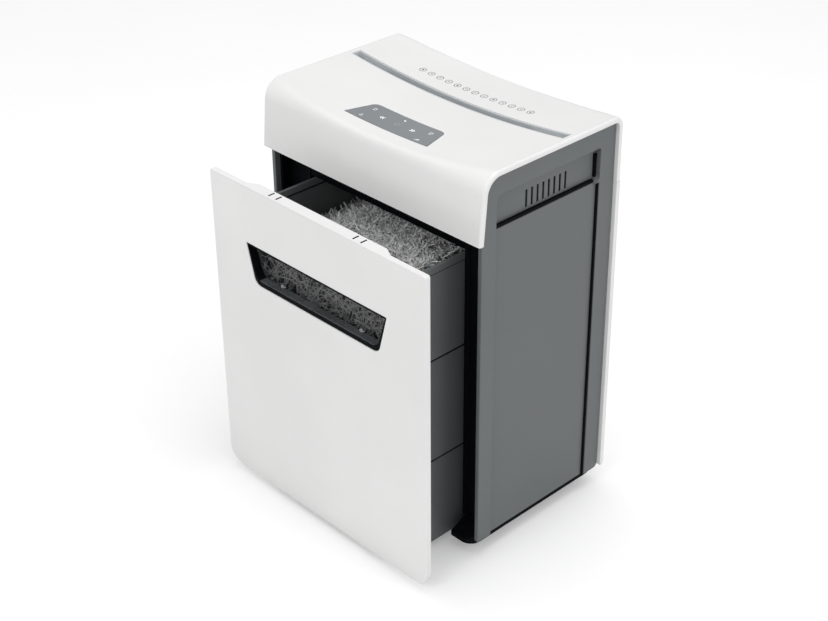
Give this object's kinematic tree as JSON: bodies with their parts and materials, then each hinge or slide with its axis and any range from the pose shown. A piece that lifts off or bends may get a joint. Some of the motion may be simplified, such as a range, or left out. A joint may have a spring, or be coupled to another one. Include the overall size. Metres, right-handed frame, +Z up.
{
  "type": "paper shredder",
  "caption": "Upright office paper shredder with a hollow-topped cutting head, touch control lens, vented side panels and a pull-out waste bin with a window.",
  "frame": {"origin": "on the floor plane, midway between the sides and between the open drawer front and the rear cover", "axes": "+Z up, -Y towards the drawer and the user, +X to the right seen from the front"},
  "size_m": [0.34, 0.294, 0.4815],
  "materials": {
    "white_cover": "moulded white ABS, high gloss top and satin-gloss drawer front",
    "grey_panel": "warm dark grey satin with a fine moulded grain",
    "black_plastic": "black satin with fine grain",
    "bin_grey": "dark grey satin polypropylene",
    "slot_grey": "light grey satin",
    "smoke_lens": "glossy smoked blue-grey lens over a dark mask",
    "clear_lens": "clear tinted acrylic",
    "rubber": "matt black rubber",
    "steel": "zinc plated steel",
    "cutter_steel": "hardened, lightly oiled tool steel",
    "brass": "sintered bronze",
    "nylon": "natural nylon",
    "circuit_board": "green solder mask",
    "paper": "matt white office paper, cut in small curled strips"
  },
  "bodies": {
    "chassis": {"top_cover": "white_cover", "rear_cover": "white_cover", "right_side_panel": "grey_panel", "left_side_panel": "grey_panel", "front_frame": "black_plastic", "base_tray": "black_plastic", "right_bay_wall": "black_plastic", "left_bay_wall": "black_plastic", "foot_1": "rubber", "foot_2": "rubber", "foot_3": "rubber", "foot_4": "rubber", "cover_screw_1": "steel", "cover_screw_2": "steel", "cover_screw_3": "steel", "cover_screw_4": "steel", "slot_insert": "slot_grey", "control_lens": "smoke_lens", "control_board": "circuit_board", "paper_sensor": "black_plastic", "head_tray": "black_plastic", "left_end_plate": "steel", "right_end_plate": "steel", "gear_plate": "steel", "front_bush_left": "brass", "front_bush_right": "brass", "rear_bush_left": "brass", "rear_bush_right": "brass", "tie_rod_1": "steel", "tie_rod_2": "steel", "tie_rod_3": "steel", "front_comb": "black_plastic", "rear_comb": "black_plastic", "motor_housing": "steel", "power_board": "circuit_board", "mains_inlet": "black_plastic", "switch_housing": "black_plastic", "reed_switch": "black_plastic"},
    "drawer": {"drawer_front": "white_cover", "window_bezel": "black_plastic", "window_lens": "clear_lens", "waste_bin": "bin_grey", "bin_magnet": "steel", "shredded_paper": "paper"},
    "front_cutter_set": {"front_cutter": "cutter_steel", "front_sync_gear": "steel", "drive_gear": "steel"},
    "rear_cutter_set": {"rear_cutter": "cutter_steel", "rear_sync_gear": "steel"},
    "idler_b": {"idler_gear_b": "nylon"},
    "idler_a": {"idler_gear_a": "nylon"},
    "motor_rotor": {"motor_rotor": "steel"},
    "rocker": {"power_rocker": "black_plastic"}
  },
  "joints": [
    {"name": "drawer_slide", "type": "slide", "parent": "chassis", "child": "drawer", "axis": [0, -1, 0], "range_m": [-0.0755, 0.11]},
    {"name": "front_cutter_spin", "type": "hinge", "parent": "chassis", "child": "front_cutter_set", "pos_m": [0, 0.04525, 0.409], "axis": [1, 0, 0], "continuous": true},
    {"name": "rear_cutter_spin", "type": "hinge", "parent": "chassis", "child": "rear_cutter_set", "pos_m": [0, 0.08525, 0.409], "axis": [1, 0, 0], "continuous": true},
    {"name": "idler_b_spin", "type": "hinge", "parent": "chassis", "child": "idler_b", "pos_m": [0.13, 0.00714, 0.431], "axis": [1, 0, 0], "continuous": true},
    {"name": "idler_a_spin", "type": "hinge", "parent": "chassis", "child": "idler_a", "pos_m": [0.125, -0.00634, 0.39762], "axis": [1, 0, 0], "continuous": true},
    {"name": "motor_spin", "type": "hinge", "parent": "chassis", "child": "motor_rotor", "pos_m": [0.066, -0.00634, 0.42462], "axis": [1, 0, 0], "continuous": true},
    {"name": "power_rocker_tilt", "type": "hinge", "parent": "chassis", "child": "rocker", "pos_m": [0.076, 0.1405, 0.388], "axis": [1, 0, 0], "range_deg": [0, 18]}
  ],
  "couplings": [
    {"joint": "rear_cutter_spin", "follows": "front_cutter_spin", "ratio": -1},
    {"joint": "idler_b_spin", "follows": "front_cutter_spin", "ratio": -2.6667},
    {"joint": "idler_a_spin", "follows": "front_cutter_spin", "ratio": 8},
    {"joint": "motor_spin", "follows": "front_cutter_spin", "ratio": -28}
  ]
}
